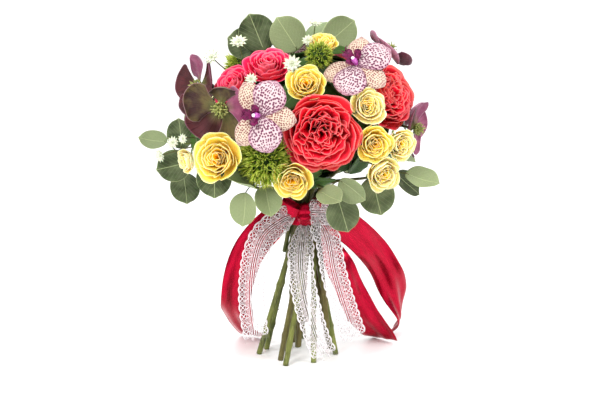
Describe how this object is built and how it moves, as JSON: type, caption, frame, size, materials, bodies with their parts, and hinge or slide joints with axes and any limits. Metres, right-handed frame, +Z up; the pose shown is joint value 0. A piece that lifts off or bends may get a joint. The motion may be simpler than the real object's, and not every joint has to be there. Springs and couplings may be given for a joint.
{
  "type": "bridal bouquet",
  "caption": "Hand-tied bridal bouquet of roses, orchids, hellebores and eucalyptus, bound with satin and lace ribbon and standing on its cut stems.",
  "frame": {"origin": "centre of the bounding box on the plane that the cut stems stand on", "axes": "+Z up along the stems; the side that the picture shows faces -Y, and +X is to its right"},
  "size_m": [0.3514, 0.2606, 0.4122],
  "materials": {
    "coral_petal": "matt ruffled rose petal, coral red, paler at the rims",
    "pink_petal": "matt rose petal, deep pink",
    "yellow_petal": "matt spray rose petal, butter yellow with cream outside",
    "orchid_petal": "waxy orchid petal, white with close rows of purple dots",
    "hellebore_petal": "soft hellebore sepal, plum to olive brown with darker veins",
    "dianthus_green": "fine matt bristles, fresh green",
    "masterwort_white": "papery bracts, greenish white",
    "eucalyptus_leaf": "bloomy leaf, silver green",
    "stem_green": "smooth cut stem, green",
    "satin_red": "satin ribbon, crimson",
    "lace_white": "lace ribbon, white"
  },
  "bodies": {
    "root": {"dianthus_back": "dianthus_green", "dianthus_front": "dianthus_green", "dianthus_top": "dianthus_green", "eucalyptus_back_left": "eucalyptus_leaf", "eucalyptus_back_right": "eucalyptus_leaf", "eucalyptus_left": "eucalyptus_leaf", "eucalyptus_low_left": "eucalyptus_leaf", "eucalyptus_low_right": "eucalyptus_leaf", "eucalyptus_right": "eucalyptus_leaf", "eucalyptus_top": "eucalyptus_leaf", "hellebore_back": "hellebore_petal", "hellebore_back_stem": "stem_green", "hellebore_left_back": "hellebore_petal", "hellebore_left_front": "hellebore_petal", "hellebore_left_stem": "stem_green", "hellebore_right_low": "hellebore_petal", "hellebore_right_stem": "stem_green", "hellebore_right_top": "hellebore_petal", "lace_tail_centre": "lace_white", "lace_tail_left": "lace_white", "lace_tail_right": "lace_white", "masterwort_back": "masterwort_white", "masterwort_crown": "masterwort_white", "masterwort_left": "masterwort_white", "masterwort_left_top": "masterwort_white", "orchid_back": "orchid_petal", "orchid_front": "orchid_petal", "orchid_right": "orchid_petal", "rose_coral_back": "coral_petal", "rose_coral_back_stem": "stem_green", "rose_coral_front": "coral_petal", "rose_coral_front_stem": "stem_green", "rose_coral_right": "coral_petal", "rose_coral_right_stem": "stem_green", "rose_pink_back": "pink_petal", "rose_pink_back_stem": "stem_green", "rose_pink_left": "pink_petal", "rose_pink_left_stem": "stem_green", "rose_pink_top": "pink_petal", "rose_pink_top_stem": "stem_green", "satin_tail_left": "satin_red", "satin_tail_low": "satin_red", "satin_tail_right": "satin_red", "satin_tie": "satin_red", "spray_rose_back_left": "yellow_petal", "spray_rose_back_right": "yellow_petal", "spray_rose_back_stem": "stem_green", "spray_rose_crown": "yellow_petal", "spray_rose_left": "yellow_petal", "spray_rose_left_small": "yellow_petal", "spray_rose_left_stem": "stem_green", "spray_rose_low": "yellow_petal", "spray_rose_low_stem": "stem_green", "spray_rose_right_inner": "yellow_petal", "spray_rose_right_low": "yellow_petal", "spray_rose_right_outer": "yellow_petal", "spray_rose_right_stem": "stem_green", "spray_rose_right_upper": "yellow_petal", "spray_rose_top": "yellow_petal", "spray_rose_top_stem": "stem_green"}
  },
  "joints": []
}
